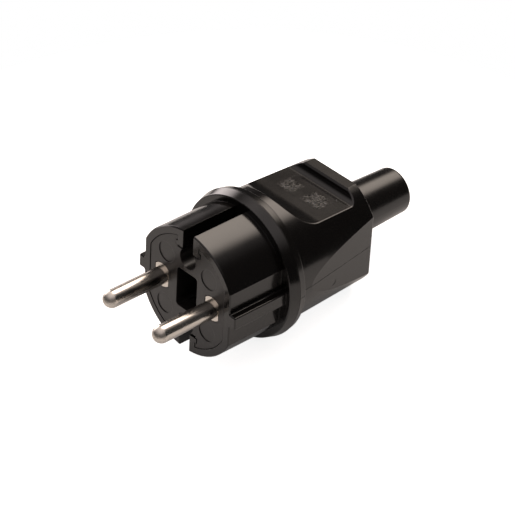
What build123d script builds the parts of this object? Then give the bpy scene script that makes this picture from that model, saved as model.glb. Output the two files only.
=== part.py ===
from build123d import *
import os
from math import asin, atan, degrees, hypot, radians, tan

# Two-pole contour plug without earth contact, 16 A, wired by hand.
# It is drawn in its own axes: X from the left pin to the right pin, Y from the
# contact face back to the cord, Z up. Y = 0 is the contact face and X = Z = 0 the
# middle between the pins. At the end the whole plug is tipped about X, tail down,
# because it lies on its ring and on the rear edge of its grip.

# contact pins
pin_diameter = 4.8
pin_reach = 19.0
pin_spacing = 19.0
collar_diameter = 6.9
collar_width = 4.9
collar_sink = 0.15
collar_length = 3.0
rivet_diameter = 3.6
rivet_length = 3.4

# nose, the part that goes into the socket; it is as wide as its pins need, with the round flatted
# on both sides
collar_wall = 1.15
nose_flat = 1.8
nose_length = 17.5
nose_wall = 2.1
nose_edge = 0.3
rib_reach = 2.1
rib_height = 3.7
rib_root = 0.4
slot_width = 3.9
slot_wall = 1.9
slot_root = 2.55
slot_bead = 0.6
slot_bead_height = 1.2

# ring behind the nose, widest at the parting between its front band on the nose and its rear band
# on the grip
ring_lip = 1.8
ring_flare = 0.8
ring_rear_drop = 0.4
ring_front_width = 2.9
ring_rear_width = 2.2
ring_edge = 0.35
ring_foot = 0.8
parting_edge = 0.1

# contact carrier, the insert that shows as the contact face
carrier_gap = 0.12
carrier_sink = 0.12
carrier_corner = 1.6
carrier_edge = 0.1
carrier_hub_radius = 4.4
earth_hole_radius = 2.95
earth_hole_height = 10.0
earth_hole_depth = 14.0
centre_recess_width = 7.6
centre_recess_height = 11.7
centre_recess_depth = 11.0
centre_recess_corner = 1.0
dimple_radius = 2.9
dimple_pitch = 16.0
dimple_depth = 0.2
seat_gap = 0.2
pin_gap = 0.05

# grip, two shells that meet at the seam plane Z = 0
grip_end = 51.3
grip_step = 1.7
grip_round_taper = 1.15
grip_flat = 2.48
grip_side_taper = 8.0
grip_edge = 0.45
grip_wall = 2.3
rear_wall = 2.6
seam_gap = 0.1
rim_flat = 1.8
rim_depth = 3.8
scoop_front = 26.4
scoop_ramp_angle = 65.0
scoop_step = 2.75
scoop_floor_slope = 2.0
scoop_ramp_radius = 9.0
scoop_foot_radius = 2.0
scoop_edge = 0.5
rim_edge = 0.5
panel_width = 15.6
panel_length = 7.8
panel_corner = 1.2
panel_place = 41.1
panel_depth = 0.1
gate_mark_radius = 0.9
gate_mark_depth = 0.06
gate_mark_place = 35.7
gate_mark_drop = 3.6

# spigot of the grip inside the ring
spigot_gap = 0.12
spigot_wall = 1.5
spigot_end_gap = 0.2

# bend relief sleeve
sleeve_end = 74.5
sleeve_root_radius = 7.2
sleeve_tip_radius = 6.45
sleeve_tip_edge = 1.0
sleeve_bore_radius = 4.2
sleeve_mouth = 0.5
sleeve_flange_drop = 1.3
sleeve_flange_length = 2.4
sleeve_gap = 0.1
bulkhead_thickness = 1.6
bulkhead_half_width = 10.0
bulkhead_hole_radius = 5.0

# terminal blocks riveted on the pins, and their screws
block_width = 6.2
block_height = 7.2
block_length = 10.4
block_shift = 0.5
block_gap = 0.1
block_edge = 0.4
wire_hole_radius = 1.6
wire_hole_depth = 6.2
terminal_screw_diameter = 3.0
terminal_screw_length = 4.6
terminal_screw_head_diameter = 4.6
terminal_screw_head_height = 1.9
terminal_screw_lift = 0.4
terminal_screw_place = 3.2

# screw and nut that draw the carrier against the grip
carrier_screw_diameter = 4.0
carrier_screw_head_diameter = 6.8
carrier_screw_head_height = 2.4
carrier_screw_spare = 1.4
carrier_nut_width = 7.0
carrier_nut_height = 3.2
carrier_nut_inset = 1.0
post_half_width = 4.7
post_length = 7.0

# screws and brass inserts that hold the two grip shells together
housing_screw_diameter = 3.0
housing_screw_head_diameter = 5.6
housing_screw_head_height = 1.9
housing_screw_place = 41.6
housing_screw_spacing = 19.6
housing_boss_radius = 3.8
housing_well_gap = 0.3
housing_well_height = 8.7
insert_radius = 2.3
insert_length = 5.0
insert_spare = 0.4
insert_well_spare = 1.0

# cord clamp
clamp_gap = 0.4
clamp_length = 6.0
clamp_half_width = 10.4
clamp_height = 5.6
clamp_groove_radius = 3.9
clamp_edge = 0.6
clamp_screw_diameter = 3.0
clamp_screw_head_diameter = 5.4
clamp_screw_head_height = 2.0
clamp_screw_spacing = 14.6
clamp_screw_bite = 7.0
clamp_screw_spare = 0.5

# screw fits and drives
screw_gap = 0.2
thread_gap = 0.03
drive_slot_width = 0.8
drive_slot_depth = 0.8
cross_reach = 0.62

# how far a cutting shape reaches past what it cuts
overrun = 1.0

# places that follow from the sizes above
pin_x = pin_spacing / 2
block_x = pin_x - block_shift
nose_half_width = pin_x + collar_diameter / 2 + collar_wall + nose_wall
nose_radius = nose_half_width + nose_flat
rib_half_width = nose_half_width + rib_reach
ring_front_radius = nose_radius + ring_lip
ring_radius = ring_front_radius + ring_flare
ring_rear_radius = ring_radius - ring_rear_drop
grip_front_radius = ring_rear_radius - grip_step
grip_rear_radius = grip_front_radius - grip_round_taper
grip_side_half_width = grip_rear_radius - grip_flat
rim_height = grip_rear_radius - rim_flat
scoop_floor_height = rim_height - scoop_step
carrier_depth = nose_length
seam_front = nose_length + ring_front_width
ring_end = seam_front + ring_rear_width
channel_foot = earth_hole_height + slot_root
channel_half = slot_width / 2 + slot_wall
rim_front = grip_end - rim_depth
room_end = grip_end - rear_wall
clamp_place = housing_screw_place - housing_boss_radius - clamp_gap - clamp_length / 2
room_height = scoop_floor_height - grip_wall
flange_end = room_end - sleeve_gap
flange_front = flange_end - sleeve_flange_length
sleeve_flange_radius = room_height - sleeve_flange_drop
block_front = carrier_depth + block_gap
block_end = block_front + block_length
terminal_screw_y = block_end - terminal_screw_place
nut_front = seam_front + carrier_nut_inset
nut_end = nut_front + carrier_nut_height
seam_face = seam_gap / 2
side_slope = tan(radians(grip_side_taper))
floor_slope = tan(radians(scoop_floor_slope))
ramp_slope = tan(radians(scoop_ramp_angle))
beyond = 3 * ring_radius


def lean_of_plug():
    """Angle at which a plug leans back on its ring and on the rounded edge of its rear rim."""
    run = (grip_end - grip_edge) - (seam_front + parting_edge)
    drop = ring_radius - (rim_height - grip_edge)
    return degrees(atan(drop / run) - asin(grip_edge / hypot(run, drop)))


lying = Location((0, 0, 0), (-lean_of_plug(), 0, 0))


def across(y):
    """Plane square to the plug's axis at a station, facing the pins."""
    return Plane.XZ.offset(-y)


def side_at(y):
    """Half width of the grip between its tapered sides at a station."""
    return grip_side_half_width + side_slope * (grip_end - y)


def radius_at(y):
    """Radius of the round of the grip at a station."""
    share = (y - ring_end) / (grip_end - ring_end)
    return grip_front_radius + share * (grip_rear_radius - grip_front_radius)


def flatted_disc(radius, half_width):
    """Round with its left and right sides cut flat."""
    Circle(radius)
    Rectangle(2 * half_width, 2 * radius, mode=Mode.INTERSECT)


def round_on(plane, radius, length, mode=Mode.ADD):
    """Cylinder from a plane along its normal, or against it for a negative length."""
    with BuildSketch(plane) as disc:
        Circle(radius)
    extrude(disc.sketch, amount=length, mode=mode)


def circles_of(builder, radius):
    """Circular edges of one radius."""
    rounds = builder.edges().filter_by(GeomType.CIRCLE)
    return rounds.filter_by(lambda e: abs(e.radius - radius) < 0.01)


def upright(x, y, z, up=1):
    """Plane at a point, facing up or down, with its X along the plug's X."""
    return Plane(origin=(x, y, z), x_dir=(1, 0, 0), z_dir=(0, 0, up))


def screw(seat, diameter, length, head_diameter, head_height, crossed=False):
    """Screw with its head on the seat plane and its shank below it."""
    round_on(seat, diameter / 2, -length)
    round_on(seat, head_diameter / 2, head_height)
    with BuildSketch(seat.offset(head_height)) as drive:
        if crossed:
            Rectangle(head_diameter * cross_reach, drive_slot_width)
            Rectangle(drive_slot_width, head_diameter * cross_reach)
        else:
            Rectangle(head_diameter + overrun, drive_slot_width)
    extrude(drive.sketch, amount=-drive_slot_depth, mode=Mode.SUBTRACT)


def finish(builder, label):
    """Lay the piece down as the plug lies, name it and write it."""
    builder.part.move(lying)
    builder.part.label = label
    export_step(builder.part, f"parts/{label}.step")


os.makedirs("parts", exist_ok=True)

# Front shell: nose wall with side ribs and slot channels, and the front band of the ring
with BuildPart() as front_shell:
    with BuildSketch(across(0)) as nose_outline:
        flatted_disc(nose_radius, nose_half_width)
        Rectangle(2 * rib_half_width, rib_height)
        roots = nose_outline.vertices().filter_by(
            lambda v: abs(v.Y) < rib_height and abs(v.X) < nose_half_width + 0.01
        )
        fillet(roots, rib_root)
        tips = nose_outline.vertices().filter_by(lambda v: abs(v.X) > rib_half_width - 0.01)
        fillet(tips, rib_root)
    extrude(amount=-nose_length)
    chamfer(front_shell.faces().sort_by(Axis.Y)[0].edges(), nose_edge)
    with BuildSketch(Plane.XY):
        with BuildLine():
            Polyline(
                (0, nose_length),
                (ring_front_radius, nose_length),
                (ring_radius, seam_front),
                (0, seam_front),
                close=True,
            )
        make_face()
    revolve(axis=Axis.Y)
    fillet(circles_of(front_shell, ring_front_radius), ring_edge)
    chamfer(circles_of(front_shell, ring_radius), parting_edge)
    with BuildSketch(across(0)) as pocket:
        flatted_disc(nose_radius - nose_wall, nose_half_width - nose_wall)
        fillet(pocket.vertices(), carrier_corner)
    extrude(amount=-seam_front, mode=Mode.SUBTRACT)
    channel_top = nose_radius - nose_wall / 2
    for up in (1, -1):
        with BuildSketch(across(0)):
            with Locations((0, up * (channel_foot + channel_top) / 2)):
                Rectangle(2 * channel_half, channel_top - channel_foot)
            with Locations((0, up * (channel_foot + slot_bead_height / 2))):
                Rectangle(2 * (channel_half + slot_bead), slot_bead_height)
        extrude(amount=-nose_length)
        with BuildSketch(across(0)):
            with Locations((0, up * (channel_foot + nose_radius) / 2)):
                Rectangle(slot_width, nose_radius - channel_foot + overrun)
        extrude(amount=-nose_length, mode=Mode.SUBTRACT)

# Contact carrier: the face insert that holds the pins
carrier_radius = nose_radius - nose_wall - carrier_gap
face = across(carrier_sink)
with BuildPart() as contact_carrier:
    with BuildSketch(face) as insert_outline:
        flatted_disc(carrier_radius, nose_half_width - nose_wall - carrier_gap)
        fillet(insert_outline.vertices(), carrier_corner)
        for up in (1, -1):
            foot = channel_foot - carrier_gap
            with Locations((0, up * (foot + carrier_radius) / 2)):
                Rectangle(
                    2 * (channel_half + carrier_gap),
                    carrier_radius - foot + overrun,
                    mode=Mode.SUBTRACT,
                )
            with Locations((0, up * (channel_foot + slot_bead_height / 2))):
                Rectangle(
                    2 * (channel_half + slot_bead + carrier_gap),
                    slot_bead_height + 2 * carrier_gap,
                    mode=Mode.SUBTRACT,
                )
    extrude(amount=-(carrier_depth - carrier_sink))
    chamfer(contact_carrier.faces().sort_by(Axis.Y)[0].outer_wire().edges(), carrier_edge)
    with BuildSketch(face):
        with GridLocations(dimple_pitch, dimple_pitch, 2, 2):
            Circle(dimple_radius)
    extrude(amount=-dimple_depth, mode=Mode.SUBTRACT)
    with BuildSketch(face):
        with GridLocations(0, 2 * earth_hole_height, 1, 2):
            Circle(earth_hole_radius)
    extrude(amount=-earth_hole_depth, mode=Mode.SUBTRACT)
    round_on(across(carrier_depth), carrier_hub_radius, -(seam_front - carrier_depth - carrier_gap))
    with BuildSketch(face):
        RectangleRounded(centre_recess_width, centre_recess_height, centre_recess_corner)
    extrude(amount=-centre_recess_depth, mode=Mode.SUBTRACT)
    round_on(face, carrier_screw_diameter / 2 + screw_gap, -seam_front, Mode.SUBTRACT)
    for x in (-pin_x, pin_x):
        with BuildSketch(across(0)):
            with Locations((x, 0)):
                Rectangle(collar_width + 2 * seat_gap, collar_diameter + overrun)
                Circle(collar_diameter / 2 + seat_gap, mode=Mode.INTERSECT)
        extrude(amount=-(collar_sink + collar_length + pin_gap), mode=Mode.SUBTRACT)
        bore_mouth = across(0).move(Location((x, 0, 0)))
        round_on(bore_mouth, pin_diameter / 2 + pin_gap, -carrier_depth, Mode.SUBTRACT)


def contact_pin(x):
    """Turned pin: round tip, shank, collar with two flats, tail riveted into its terminal."""
    shank = pin_diameter / 2
    collar = collar_diameter / 2
    collar_end = collar_sink + collar_length
    tail_end = block_front + rivet_length
    with BuildSketch(Plane.XY) as half_section:
        with BuildLine():
            RadiusArc((x, -pin_reach), (x + shank, shank - pin_reach), -shank)
            Polyline(
                (x + shank, shank - pin_reach),
                (x + shank, collar_sink),
                (x + collar, collar_sink),
                (x + collar, collar_end),
                (x + shank, collar_end),
                (x + shank, carrier_depth),
                (x + rivet_diameter / 2, carrier_depth),
                (x + rivet_diameter / 2, tail_end),
                (x, tail_end),
                (x, -pin_reach),
            )
        make_face()
    revolve(half_section.sketch, axis=Axis((x, 0, 0), (0, 1, 0)))
    with BuildSketch(across(-pin_reach - overrun)) as flats:
        with Locations((x, 0)):
            Rectangle(collar_width, collar_diameter + overrun)
    extrude(flats.sketch, amount=-(pin_reach + tail_end + 2 * overrun), mode=Mode.INTERSECT)


# Contact pins
with BuildPart() as left_pin:
    contact_pin(-pin_x)
with BuildPart() as right_pin:
    contact_pin(pin_x)

# Terminal blocks: one on each pin, with a wire hole from behind and a screw hole from above
with BuildPart() as terminal_blocks:
    for side in (-1, 1):
        with BuildSketch(across(block_front)) as block_face:
            with Locations((side * block_x, 0)):
                Rectangle(block_width, block_height)
        extrude(amount=-block_length)
    chamfer(terminal_blocks.edges().filter_by(Axis.Y), block_edge)
    for side in (-1, 1):
        rivet_mouth = across(block_front).move(Location((side * pin_x, 0, 0)))
        round_on(rivet_mouth, rivet_diameter / 2 + thread_gap, -(rivet_length + thread_gap), Mode.SUBTRACT)
        wire_mouth = across(block_end).move(Location((side * block_x, 0, 0)))
        round_on(wire_mouth, wire_hole_radius, wire_hole_depth, Mode.SUBTRACT)
        screw_mouth = upright(side * block_x, terminal_screw_y, block_height / 2)
        thread = terminal_screw_diameter / 2 + thread_gap
        round_on(screw_mouth, thread, -block_height / 2, Mode.SUBTRACT)

# Terminal screws, backed off a little as delivered
with BuildPart() as terminal_screws:
    for side in (-1, 1):
        screw(
            upright(side * block_x, terminal_screw_y, block_height / 2 + terminal_screw_lift),
            terminal_screw_diameter,
            terminal_screw_length,
            terminal_screw_head_diameter,
            terminal_screw_head_height,
        )

# Solid form of the grip, before it is hollowed and parted at the seam
with BuildPart() as grip_form:
    with BuildSketch(Plane.XY):
        with BuildLine():
            Polyline(
                (0, seam_front),
                (ring_radius, seam_front),
                (ring_rear_radius, ring_end),
                (grip_front_radius, ring_end),
                (grip_rear_radius, grip_end),
                (0, grip_end),
                close=True,
            )
        make_face()
    revolve(axis=Axis.Y)
    fillet(circles_of(grip_form, grip_front_radius), ring_foot)
    with BuildSketch(Plane.XY.offset(-beyond / 2)):
        for side in (1, -1):
            with BuildLine():
                Polyline(
                    (side * side_at(ring_end), ring_end),
                    (side * beyond, ring_end),
                    (side * beyond, grip_end + overrun),
                    (side * side_at(grip_end + overrun), grip_end + overrun),
                    close=True,
                )
            make_face()
    extrude(amount=beyond, mode=Mode.SUBTRACT)
    ramp_foot = (
        grip_front_radius + ramp_slope * scoop_front - scoop_floor_height - floor_slope * rim_front
    ) / (ramp_slope - floor_slope)
    ramp_foot_height = scoop_floor_height + floor_slope * (rim_front - ramp_foot)
    ramp_head = scoop_front - ring_radius / ramp_slope
    for up in (1, -1):
        with BuildSketch(Plane.YZ.offset(-beyond / 2)):
            with BuildLine():
                FilletPolyline(
                    (ramp_head, up * (grip_front_radius + ring_radius)),
                    (ramp_foot, up * ramp_foot_height),
                    (rim_front, up * scoop_floor_height),
                    (rim_front, up * (rim_height - rim_edge)),
                    radius=(scoop_ramp_radius, scoop_foot_radius),
                    close=False,
                )
                Polyline(
                    (rim_front, up * (rim_height - rim_edge)),
                    (rim_front + rim_edge, up * rim_height),
                    (grip_end + overrun, up * rim_height),
                    (grip_end + overrun, up * (grip_front_radius + ring_radius)),
                    (ramp_head, up * (grip_front_radius + ring_radius)),
                )
            make_face()
        extrude(amount=beyond, mode=Mode.SUBTRACT)
    scoop_rims = grip_form.edges().filter_by(
        lambda e: e.geom_type != GeomType.LINE
        and scoop_front - overrun < e.center().Y < rim_front + 0.01
        and abs(e.center().Z) > room_height
    )
    fillet(scoop_rims, scoop_edge)
    fillet(grip_form.faces().sort_by(Axis.Y)[-1].edges(), grip_edge)
    fillet(circles_of(grip_form, ring_rear_radius), ring_edge)
    chamfer(circles_of(grip_form, ring_radius), parting_edge)

# Room inside the grip, one wall inside its form
with BuildPart() as grip_room:
    with BuildSketch(Plane.XY):
        with BuildLine():
            Polyline(
                (0, seam_front),
                (radius_at(seam_front) - grip_wall, seam_front),
                (radius_at(room_end) - grip_wall, room_end),
                (0, room_end),
                close=True,
            )
        make_face()
    revolve(axis=Axis.Y)
    with BuildSketch(Plane.XY.offset(-room_height)):
        with BuildLine():
            front_half, rear_half = side_at(seam_front) - grip_wall, side_at(room_end) - grip_wall
            Polyline(
                (-front_half, seam_front),
                (front_half, seam_front),
                (rear_half, room_end),
                (-rear_half, room_end),
                close=True,
            )
        make_face()
    extrude(amount=2 * room_height, mode=Mode.INTERSECT)


def grip_shell(up):
    """Upper (+1) or lower (-1) shell of the grip, with all that both shells carry inside."""
    add(grip_form.part)
    add(grip_room.part, mode=Mode.SUBTRACT)
    with BuildSketch(across(seam_front)) as post:
        Rectangle(2 * post_half_width, 2 * room_height + grip_wall)
    extrude(post.sketch, amount=-post_length)
    with BuildSketch(across(nut_front)) as nut_pocket:
        Rectangle(carrier_nut_width + 2 * seat_gap, carrier_nut_width + 2 * seat_gap)
    extrude(nut_pocket.sketch, amount=-carrier_nut_height - seat_gap, mode=Mode.SUBTRACT)
    screw_bore = carrier_screw_diameter / 2 + screw_gap
    round_on(across(seam_front), screw_bore, -post_length, Mode.SUBTRACT)
    with BuildSketch(across(flange_front - sleeve_gap)) as bulkhead:
        Rectangle(2 * bulkhead_half_width, 2 * room_height + grip_wall)
        Circle(bulkhead_hole_radius, mode=Mode.SUBTRACT)
    extrude(bulkhead.sketch, amount=bulkhead_thickness)
    round_on(across(room_end), sleeve_root_radius + sleeve_gap, -rear_wall, Mode.SUBTRACT)
    for x in (-housing_screw_spacing / 2, housing_screw_spacing / 2):
        boss_root = upright(x, housing_screw_place, 0, up)
        round_on(boss_root, housing_boss_radius, room_height + grip_wall / 2)
    add(grip_form.part, mode=Mode.INTERSECT)
    spigot_start = nose_length + spigot_end_gap
    spigot_radius = nose_radius - nose_wall - spigot_gap
    spigot_half_width = nose_half_width - nose_wall - spigot_gap
    with BuildSketch(across(spigot_start)) as spigot:
        flatted_disc(spigot_radius, spigot_half_width)
        fillet(spigot.vertices(), carrier_corner)
        with BuildSketch(mode=Mode.SUBTRACT):
            flatted_disc(spigot_radius - spigot_wall, spigot_half_width - spigot_wall)
            Rectangle(2 * spigot_half_width, 2 * room_height, mode=Mode.INTERSECT)
    extrude(spigot.sketch, amount=-(seam_front - spigot_start))
    with BuildSketch(upright(0, grip_end / 2, up * seam_face, -up)) as other_half:
        Rectangle(beyond, beyond)
    extrude(other_half.sketch, amount=beyond, mode=Mode.SUBTRACT)


# Upper grip shell, with brass inserts for the housing screws and a shallow plain panel in its recess
with BuildPart() as upper_grip_shell:
    grip_shell(1)
    panel_height = scoop_floor_height + floor_slope * (rim_front - panel_place)
    floor_plane = Plane((0, panel_place, panel_height), (1, 0, 0), (0, floor_slope, 1))
    with BuildSketch(floor_plane.offset(scoop_step)):
        RectangleRounded(panel_width, panel_length, panel_corner)
    extrude(amount=-(scoop_step + panel_depth), mode=Mode.SUBTRACT)
    for x in (-housing_screw_spacing / 2, housing_screw_spacing / 2):
        insert_mouth = upright(x, housing_screw_place, seam_face)
        round_on(insert_mouth, insert_radius + thread_gap, insert_length + insert_well_spare, Mode.SUBTRACT)

# Lower grip shell, with the screw wells, the saddle of the cord clamp and the gate mark
with BuildPart() as lower_grip_shell:
    grip_shell(-1)
    with BuildSketch(across(clamp_place - clamp_length / 2)):
        with Locations((0, -(room_height + grip_wall / 2 + seam_face) / 2)):
            Rectangle(2 * clamp_half_width, room_height + grip_wall / 2 - seam_face)
        Circle(clamp_groove_radius, mode=Mode.SUBTRACT)
    extrude(amount=-clamp_length)
    for x in (-clamp_screw_spacing / 2, clamp_screw_spacing / 2):
        hole = clamp_screw_diameter / 2 + thread_gap
        round_on(upright(x, clamp_place, 0), hole, -(clamp_screw_bite + clamp_screw_spare), Mode.SUBTRACT)
    for x in (-housing_screw_spacing / 2, housing_screw_spacing / 2):
        well_radius = housing_screw_head_diameter / 2 + housing_well_gap
        well_floor = upright(x, housing_screw_place, -housing_well_height, -1)
        round_on(well_floor, well_radius, beyond / 2, Mode.SUBTRACT)
        shank_bore = housing_screw_diameter / 2 + screw_gap
        round_on(well_floor, shank_bore, -housing_well_height, Mode.SUBTRACT)
    flank = Plane(
        origin=(side_at(gate_mark_place), gate_mark_place, -gate_mark_drop),
        x_dir=(0, 0, 1),
        z_dir=(1, side_slope, 0),
    )
    round_on(flank, gate_mark_radius, -gate_mark_depth, Mode.SUBTRACT)

# Brass inserts in the upper shell
with BuildPart() as housing_inserts:
    for x in (-housing_screw_spacing / 2, housing_screw_spacing / 2):
        insert_foot = upright(x, housing_screw_place, seam_face)
        round_on(insert_foot, insert_radius, insert_length)
        bore = housing_screw_diameter / 2 + thread_gap
        round_on(insert_foot, bore, insert_length, Mode.SUBTRACT)

# Screws from below that hold the two grip shells together
with BuildPart() as housing_screws:
    for x in (-housing_screw_spacing / 2, housing_screw_spacing / 2):
        screw(
            upright(x, housing_screw_place, -housing_well_height, -1),
            housing_screw_diameter,
            housing_well_height + seam_face + insert_length - insert_spare,
            housing_screw_head_diameter,
            housing_screw_head_height,
            crossed=True,
        )

# Screw at the bottom of the centre recess, and its square nut in the grip
with BuildPart() as carrier_screw:
    screw(
        across(carrier_sink + centre_recess_depth),
        carrier_screw_diameter,
        nut_end + carrier_screw_spare - centre_recess_depth - carrier_sink,
        carrier_screw_head_diameter,
        carrier_screw_head_height,
        crossed=True,
    )

with BuildPart() as carrier_nut:
    with BuildSketch(across(nut_front)):
        Rectangle(carrier_nut_width, carrier_nut_width)
        Circle(carrier_screw_diameter / 2 + thread_gap, mode=Mode.SUBTRACT)
    extrude(amount=-carrier_nut_height)

# Cord clamp bar over the saddle of the lower shell, and its two screws
with BuildPart() as cord_clamp_bar:
    with BuildSketch(across(clamp_place - clamp_length / 2)):
        with Locations((0, (clamp_height + seam_face) / 2)):
            Rectangle(2 * clamp_half_width, clamp_height - seam_face)
        Circle(clamp_groove_radius, mode=Mode.SUBTRACT)
    extrude(amount=-clamp_length)
    top_ends = cord_clamp_bar.edges().filter_by(Axis.Y).group_by(Axis.Z)[-1]
    fillet(top_ends, clamp_edge)
    for x in (-clamp_screw_spacing / 2, clamp_screw_spacing / 2):
        hole = clamp_screw_diameter / 2 + screw_gap
        round_on(upright(x, clamp_place, 0), hole, clamp_height, Mode.SUBTRACT)

with BuildPart() as cord_clamp_screws:
    for x in (-clamp_screw_spacing / 2, clamp_screw_spacing / 2):
        screw(
            upright(x, clamp_place, clamp_height),
            clamp_screw_diameter,
            clamp_height + clamp_screw_bite,
            clamp_screw_head_diameter,
            clamp_screw_head_height,
        )

# Bend relief sleeve, held by its flange between the bulkhead and the rear wall
with BuildPart() as bend_relief_sleeve:
    with BuildSketch(Plane.XY) as sleeve_section:
        with BuildLine():
            Polyline(
                (sleeve_bore_radius, flange_front),
                (sleeve_flange_radius, flange_front),
                (sleeve_flange_radius, flange_end),
                (sleeve_root_radius, flange_end),
                (sleeve_root_radius, grip_end),
                (sleeve_tip_radius, sleeve_end),
                (sleeve_bore_radius, sleeve_end),
                close=True,
            )
        make_face()
        tip = sleeve_section.vertices().sort_by(Axis.Y)[-2:].sort_by(Axis.X)
        fillet(tip[-1], sleeve_tip_edge)
        chamfer(tip[0], sleeve_mouth)
    revolve(axis=Axis.Y)

finish(front_shell, "front_shell")
finish(contact_carrier, "contact_carrier")
finish(left_pin, "left_pin")
finish(right_pin, "right_pin")
finish(terminal_blocks, "terminal_blocks")
finish(terminal_screws, "terminal_screws")
finish(upper_grip_shell, "upper_grip_shell")
finish(lower_grip_shell, "lower_grip_shell")
finish(housing_inserts, "housing_inserts")
finish(housing_screws, "housing_screws")
finish(carrier_screw, "carrier_screw")
finish(carrier_nut, "carrier_nut")
finish(cord_clamp_bar, "cord_clamp_bar")
finish(cord_clamp_screws, "cord_clamp_screws")
finish(bend_relief_sleeve, "bend_relief_sleeve")
print(f"lean {lean_of_plug():.3f} degrees")
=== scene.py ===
import math
from typing import NamedTuple

import bpy
from mathutils import Matrix, Vector


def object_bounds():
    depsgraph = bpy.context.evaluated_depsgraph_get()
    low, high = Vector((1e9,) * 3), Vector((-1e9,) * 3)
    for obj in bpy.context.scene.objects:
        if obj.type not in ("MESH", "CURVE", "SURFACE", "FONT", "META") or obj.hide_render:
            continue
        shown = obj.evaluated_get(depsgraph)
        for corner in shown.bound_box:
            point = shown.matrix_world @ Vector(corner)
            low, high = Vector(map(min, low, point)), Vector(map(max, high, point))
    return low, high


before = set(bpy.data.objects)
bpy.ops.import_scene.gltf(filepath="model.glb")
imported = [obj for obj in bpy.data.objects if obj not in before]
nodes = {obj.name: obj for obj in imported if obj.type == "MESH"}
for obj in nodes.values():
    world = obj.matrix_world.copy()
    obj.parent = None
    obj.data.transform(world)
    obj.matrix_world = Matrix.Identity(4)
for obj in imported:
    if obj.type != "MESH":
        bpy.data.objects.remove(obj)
cad_low, cad_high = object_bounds()

MM = 0.001
WHITE = (1.0, 1.0, 1.0, 1.0)

# The camera, in millimetres and degrees. Azimuth 0 is in front of the pins and 90 on the plug's right.
CAMERA_AIM = Vector((-0.478, 24.576, -4.870))
CAMERA_DISTANCE = 741.3
CAMERA_AZIMUTH = 51.073
CAMERA_ELEVATION = 41.488
CAMERA_ROLL = -5.694
CAMERA_LENS = 200.53
CAMERA_SENSOR = 36.0

# The nearest and the farthest that the camera sees, in metres
NEAREST_SEEN = 0.05
FARTHEST_SEEN = 10.0


class SoftLight(NamedTuple):
    """A disc of light in the room, in degrees seen from the plug. It is even out to the first angle from its
    middle and fades to nothing at the second. At strength 1 it is white."""

    azimuth: float
    elevation: float
    even: float
    end: float
    strength: float
    colour: str


REAR_LIGHT = SoftLight(azimuth=-163.0, elevation=42.0, even=8.0, end=27.0, strength=4.5, colour="#fff0e2")
LEFT_LIGHT = SoftLight(azimuth=-100.0, elevation=11.0, even=10.0, end=28.0, strength=5.0, colour="#fff3f0")
TOP_LIGHT = SoftLight(azimuth=0.0, elevation=88.0, even=25.0, end=60.0, strength=0.9, colour="#fff4f1")
ROOM_GLOW = 0.04

# The table's radius in metres and its number of corners, and how much white it adds by itself for the camera
# and for the plug's gloss
TABLE_RADIUS = 0.14
TABLE_CORNERS = 96
TABLE_TO_CAMERA = 0.86
TABLE_TO_GLOSS = 0.08

# Sizes of the surface patterns from one mark to the next, in millimetres. On the real plug the marks of the
# mould's skin are less than 0.05 apart, and the spark grains and a cutter's marks about 0.1. These three are
# too fine to show in the render, so they are drawn as coarse as they need to be.
POLISHING_PASS = 8.0
MOULD_WAVE = 2.0
MOULD_SKIN = 0.17
SPARK_GRAIN = 0.5
SPARK_BLOTCH = 1.6
SLIDING_SMEAR = 2.5
CUTTER_MARK = 0.4
PLATING_CLOUD = 0.7

# Heights of the bumps in millimetres. The spark grains are drawn higher too, in step with their size.
MOULD_WAVE_HEIGHT = 0.05
MOULD_SKIN_HEIGHT = 0.01
SPARK_HEIGHT = 0.32

# The small round that every moulded edge has, in millimetres, and how many times the shader feels for it
EDGE_ROUND = 0.15
EDGE_SAMPLES = 4

# How strongly the plastics bend light, and how far their roughness drifts either way
PLASTIC_IOR = 1.5
POLISH_DRIFT = 0.03

# The part of a noise, from 0 to 1, in which most of it lies
MOST_OF_NOISE = (0.3, 0.7)

# How far the plug leans back. The places below are in its own upright axes, in millimetres.
LEAN = math.radians(9.436)

# Where the pins' dull ends begin, how soon they are fully dull, and how much rougher they are
WORN_FROM = -16.9
WORN_WITHIN = 0.4
WORN_MORE = 0.2

# The two textured patches on the panel in the upper recess: each one's middle and half size, across and
# along the plug. They fade in from the border, and go from their faintest to their full strength as a noise
# goes through the swing.
TEXTURED_PATCHES = (((-5.2, 40.0), (2.8, 2.8)), ((4.3, 40.6), (3.6, 3.0)))
PATCH_FADE = 0.9
BLOTCH_SWING = (0.38, 0.56)
FAINTEST_BLOTCH = 0.1


def linear(hex_colour):
    """Colour of a surface from its sRGB hex value."""
    channels = [int(hex_colour[i : i + 2], 16) / 255 for i in (1, 3, 5)]
    return [c / 12.92 if c <= 0.04045 else ((c + 0.055) / 1.055) ** 2.4 for c in channels] + [1.0]


def put(tree, kind, settings=None, **sockets):
    """Adds one node. Settings are its properties. Sockets are its inputs, by name, or as i0, i1 and i2 for
    the first three, and each is given a value or an output to link."""
    node = tree.nodes.new(kind)
    for name, value in (settings or {}).items():
        setattr(node, name, value)
    for name, value in sockets.items():
        socket = node.inputs[int(name[1:])] if name[1:].isdigit() else node.inputs[name.replace("_", " ")]
        if isinstance(value, bpy.types.NodeSocket):
            tree.links.new(value, socket)
        else:
            socket.default_value = value
    return node


def new_material(name, colour):
    """A material of one colour, with only its surface shader and its output."""
    material = bpy.data.materials.new(name)
    material.use_nodes = True
    tree = material.node_tree
    tree.nodes.clear()
    shader = put(tree, "ShaderNodeBsdfPrincipled", Base_Color=linear(colour))
    put(tree, "ShaderNodeOutputMaterial", Surface=shader.outputs["BSDF"])
    return material, tree, shader


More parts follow.
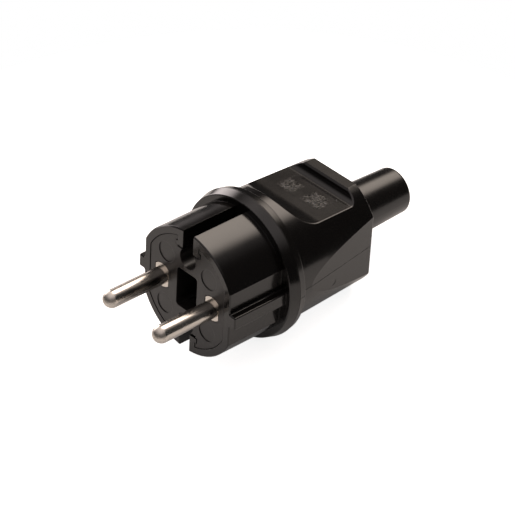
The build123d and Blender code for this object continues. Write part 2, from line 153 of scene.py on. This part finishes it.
def place_in_millimetres(tree):
    """The place on the object, for patterns whose sizes are in millimetres."""
    place = put(tree, "ShaderNodeTexCoord").outputs["Object"]
    scaled = put(tree, "ShaderNodeVectorMath", {"operation": "SCALE"}, i0=place, Scale=1 / MM)
    return scaled.outputs["Vector"]


def upright(tree, place):
    """The same place in the plug's own axes, with its lean taken out."""
    turned = put(tree, "ShaderNodeVectorRotate", {"rotation_type": "X_AXIS"}, Vector=place, Angle=LEAN)
    return turned.outputs["Vector"]


def uneven_polish(tree, place, patch, smoothest, dullest, swing=(0.0, 1.0)):
    """Roughness that drifts from the smoothest to the dullest over patches of a size in millimetres, as a
    noise goes through its swing."""
    patches = put(tree, "ShaderNodeTexNoise", Vector=place, Scale=1 / patch, Detail=3.0)
    drift = put(
        tree,
        "ShaderNodeMapRange",
        Value=patches.outputs["Fac"],
        From_Min=swing[0],
        From_Max=swing[1],
        To_Min=smoothest,
        To_Max=dullest,
    )
    return drift.outputs["Result"]


def relief(tree, place, size, height, strength, under, detail):
    """Bumps of a size and height in millimetres on top of the surface under them."""
    bumps = put(tree, "ShaderNodeTexNoise", Vector=place, Scale=1 / size, Detail=detail)
    raised = put(
        tree,
        "ShaderNodeBump",
        Strength=strength,
        Distance=height * MM,
        Height=bumps.outputs["Fac"],
        Normal=under,
    )
    return raised.outputs["Normal"]


def spark_texture(tree, place, skin):
    """Patches of the grain that spark erosion leaves in a mould: it breaks the gloss into small bright
    points."""
    own_place = upright(tree, place)
    inside = 0.0
    for middle, half_size in TEXTURED_PATCHES:
        offset = put(
            tree,
            "ShaderNodeVectorMath",
            {"operation": "SUBTRACT"},
            i0=own_place,
            i1=(*middle, 0.0),
        )
        apart = put(tree, "ShaderNodeVectorMath", {"operation": "ABSOLUTE"}, i0=offset.outputs["Vector"])
        beyond = put(
            tree,
            "ShaderNodeVectorMath",
            {"operation": "SUBTRACT"},
            i0=apart.outputs["Vector"],
            i1=(*half_size, 0.0),
        )
        ways = put(tree, "ShaderNodeSeparateXYZ", Vector=beyond.outputs["Vector"]).outputs
        farthest = put(tree, "ShaderNodeMath", {"operation": "MAXIMUM"}, i0=ways["X"], i1=ways["Y"])
        patch = put(
            tree,
            "ShaderNodeMapRange",
            Value=farthest.outputs["Value"],
            From_Min=0.0,
            From_Max=-PATCH_FADE,
        )
        either = put(
            tree,
            "ShaderNodeMath",
            {"operation": "MAXIMUM"},
            i0=inside,
            i1=patch.outputs["Result"],
        )
        inside = either.outputs["Value"]
    blotches = put(tree, "ShaderNodeTexNoise", Vector=place, Scale=1 / SPARK_BLOTCH, Detail=1.0)
    uneven = put(
        tree,
        "ShaderNodeMapRange",
        Value=blotches.outputs["Fac"],
        From_Min=BLOTCH_SWING[0],
        From_Max=BLOTCH_SWING[1],
        To_Min=FAINTEST_BLOTCH,
    )
    struck = put(tree, "ShaderNodeMath", {"operation": "MULTIPLY"}, i0=inside, i1=uneven.outputs["Result"])
    return relief(tree, place, SPARK_GRAIN, SPARK_HEIGHT, struck.outputs["Value"], skin, detail=1.0)


def moulded_plastic(name, colour, roughness, waves, skin, textured=False):
    """Plastic from an injection mould: one even colour and a gloss that drifts a little. The soft waves of
    the mould's hand polish bend the reflections, and its fine skin softens them. Waves and skin are shares
    of their full heights."""
    material, tree, shader = new_material(name, colour)
    shader.inputs["IOR"].default_value = PLASTIC_IOR
    place = place_in_millimetres(tree)
    smoothest, dullest = roughness - POLISH_DRIFT, roughness + POLISH_DRIFT
    polish = uneven_polish(tree, place, POLISHING_PASS, smoothest, dullest, MOST_OF_NOISE)
    tree.links.new(polish, shader.inputs["Roughness"])
    edge = put(tree, "ShaderNodeBevel", {"samples": EDGE_SAMPLES}, Radius=EDGE_ROUND * MM)
    surface = edge.outputs["Normal"]
    surface = relief(tree, place, MOULD_WAVE, MOULD_WAVE_HEIGHT, waves, surface, detail=2.0)
    surface = relief(tree, place, MOULD_SKIN, MOULD_SKIN_HEIGHT, skin, surface, detail=2.0)
    if textured:
        surface = spark_texture(tree, place, surface)
    tree.links.new(surface, shader.inputs["Normal"])
    return material


def new_metal(name, colour):
    """A metal of one colour."""
    material, tree, shader = new_material(name, colour)
    shader.inputs["Metallic"].default_value = 1.0
    return material, tree, shader, place_in_millimetres(tree)


def nickel_plate(name):
    """Nickel plated on turned brass: a warm white mirror, blurred a little by sliding in sockets, and more
    on the round ends, which meet the socket first."""
    material, tree, shader, place = new_metal(name, "#c9c3bb")
    polish = uneven_polish(tree, place, SLIDING_SMEAR, smoothest=0.19, dullest=0.27, swing=MOST_OF_NOISE)
    ways = put(tree, "ShaderNodeSeparateXYZ", Vector=upright(tree, place))
    worn = put(
        tree,
        "ShaderNodeMapRange",
        Value=ways.outputs["Y"],
        From_Min=WORN_FROM,
        From_Max=WORN_FROM - WORN_WITHIN,
        To_Max=WORN_MORE,
    )
    dulled = put(tree, "ShaderNodeMath", {"operation": "ADD"}, i0=polish, i1=worn.outputs["Result"])
    tree.links.new(dulled.outputs["Value"], shader.inputs["Roughness"])
    return material


def machined_brass(name):
    """Brass cut and drilled from bar: a yellow metal that the cutter's marks make dull."""
    material, tree, shader, place = new_metal(name, "#c9a25c")
    polish = uneven_polish(tree, place, CUTTER_MARK, smoothest=0.28, dullest=0.42)
    tree.links.new(polish, shader.inputs["Roughness"])
    return material


def zinc_plated_steel(name):
    """Zinc plated on cold-formed steel: a pale grey metal with a slightly cloudy gloss."""
    material, tree, shader, place = new_metal(name, "#b9bbbd")
    polish = uneven_polish(tree, place, PLATING_CLOUD, smoothest=0.24, dullest=0.38)
    tree.links.new(polish, shader.inputs["Roughness"])
    return material


def dress(material, *names):
    """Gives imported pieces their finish."""
    for name in names:
        data = nodes[name].data
        data.materials.clear()
        data.materials.append(material)


def dress_plug():
    """The finish of all fifteen pieces."""
    # ABS from a polished mould: deep black, with clear reflections that follow every round
    gloss = {"colour": "#0d0b0a", "roughness": 0.18, "waves": 0.05, "skin": 0.05}
    dress(moulded_plastic("polished black ABS", **gloss), "front_shell", "lower_grip_shell")
    panelled = moulded_plastic("polished black ABS with textured patches", **gloss, textured=True)
    dress(panelled, "upper_grip_shell")

    # Polyamide from a finely matted mould: a greyer black, with broad soft reflections
    satin = moulded_plastic("satin black polyamide", colour="#161413", roughness=0.32, waves=0.08, skin=0.2)
    dress(satin, "contact_carrier", "cord_clamp_bar")

    # Soft vinyl moulded round a core: black, with reflections a little more blurred than on the ABS
    vinyl = moulded_plastic("black soft vinyl", colour="#110f0e", roughness=0.24, waves=0.08, skin=0.1)
    dress(vinyl, "bend_relief_sleeve")

    dress(nickel_plate("nickel plate on brass"), "left_pin", "right_pin")
    dress(machined_brass("machined brass"), "terminal_blocks", "housing_inserts")
    screws = ("terminal_screws", "housing_screws", "carrier_screw", "carrier_nut", "cord_clamp_screws")
    dress(zinc_plated_steel("zinc-plated steel"), *screws)


def floor_disc():
    """Plain pale table under the plug, at the height of its lowest point. It glows for the camera, which
    makes it white and keeps the shadow, and a little for the plug's gloss."""
    angles = [math.tau * corner / TABLE_CORNERS for corner in range(TABLE_CORNERS)]
    rim = [(TABLE_RADIUS * math.cos(angle), TABLE_RADIUS * math.sin(angle), cad_low.z) for angle in angles]
    mesh = bpy.data.meshes.new("table")
    mesh.from_pydata(rim, [], [tuple(range(TABLE_CORNERS))])
    table = bpy.data.objects.new("table", mesh)
    bpy.context.scene.collection.objects.link(table)
    material, tree, shader = new_material("matt white table", "#f4f3f1")
    shader.inputs["Roughness"].default_value = 0.9
    shader.inputs["Specular IOR Level"].default_value = 0.1
    shader.inputs["Emission Color"].default_value = WHITE
    ray = put(tree, "ShaderNodeLightPath").outputs
    glow = 0.0
    for kind, share in (("Is Camera Ray", TABLE_TO_CAMERA), ("Is Glossy Ray", TABLE_TO_GLOSS)):
        more = put(tree, "ShaderNodeMath", {"operation": "MULTIPLY_ADD"}, i0=ray[kind], i1=share, i2=glow)
        glow = more.outputs["Value"]
    tree.links.new(glow, shader.inputs["Emission Strength"])
    mesh.materials.append(material)


def studio():
    """White to the camera and through glass. To everything else it is a dim room with a few soft lights."""
    world = bpy.data.worlds.new("studio")
    bpy.context.scene.world = world
    world.use_nodes = True
    tree = world.node_tree
    tree.nodes.clear()
    towards = put(tree, "ShaderNodeTexCoord").outputs["Generated"]
    total = (ROOM_GLOW, ROOM_GLOW, ROOM_GLOW)
    for light in (REAR_LIGHT, LEFT_LIGHT, TOP_LIGHT):
        across, above = math.radians(light.azimuth), math.radians(light.elevation)
        level = math.cos(above)
        middle = (math.sin(across) * level, -math.cos(across) * level, math.sin(above))
        near = put(tree, "ShaderNodeVectorMath", {"operation": "DOT_PRODUCT"}, i0=towards, i1=middle)
        glow = put(
            tree,
            "ShaderNodeMapRange",
            {"interpolation_type": "SMOOTHSTEP"},
            Value=near.outputs["Value"],
            From_Min=math.cos(math.radians(light.end)),
            From_Max=math.cos(math.radians(light.even)),
            To_Max=light.strength,
        )
        added = put(
            tree,
            "ShaderNodeVectorMath",
            {"operation": "MULTIPLY_ADD"},
            i0=linear(light.colour)[:3],
            i1=glow.outputs["Result"],
            i2=total,
        )
        total = added.outputs["Vector"]
    room = put(tree, "ShaderNodeBackground", Color=total, Strength=1.0)
    white = put(tree, "ShaderNodeBackground", Color=WHITE, Strength=1.0)
    ray = put(tree, "ShaderNodeLightPath").outputs
    straight = put(
        tree,
        "ShaderNodeMath",
        {"operation": "MAXIMUM"},
        i0=ray["Is Camera Ray"],
        i1=ray["Is Transmission Ray"],
    )
    shown = put(
        tree,
        "ShaderNodeMixShader",
        i0=straight.outputs["Value"],
        i1=room.outputs["Background"],
        i2=white.outputs["Background"],
    )
    put(tree, "ShaderNodeOutputWorld", Surface=shown.outputs["Shader"])


def camera():
    """Long lens from the front right, above the plug, rolled a little to one side."""
    data = bpy.data.cameras.new("camera")
    data.lens = CAMERA_LENS
    data.sensor_width = CAMERA_SENSOR
    data.clip_start, data.clip_end = NEAREST_SEEN, FARTHEST_SEEN
    holder = bpy.data.objects.new("camera", data)
    sideways = Matrix.Rotation(math.radians(CAMERA_AZIMUTH), 3, "Z")
    downwards = Matrix.Rotation(math.radians(90.0 - CAMERA_ELEVATION), 3, "X")
    roll = Matrix.Rotation(math.radians(CAMERA_ROLL), 3, "Z")
    turn = sideways @ downwards @ roll
    back = turn @ Vector((0.0, 0.0, CAMERA_DISTANCE))
    holder.matrix_world = Matrix.Translation((CAMERA_AIM + back) * MM) @ turn.to_4x4()
    bpy.context.scene.collection.objects.link(holder)
    bpy.context.scene.camera = holder


dress_plug()
floor_disc()
studio()
camera()
bpy.context.scene.view_settings.view_transform = "Standard"
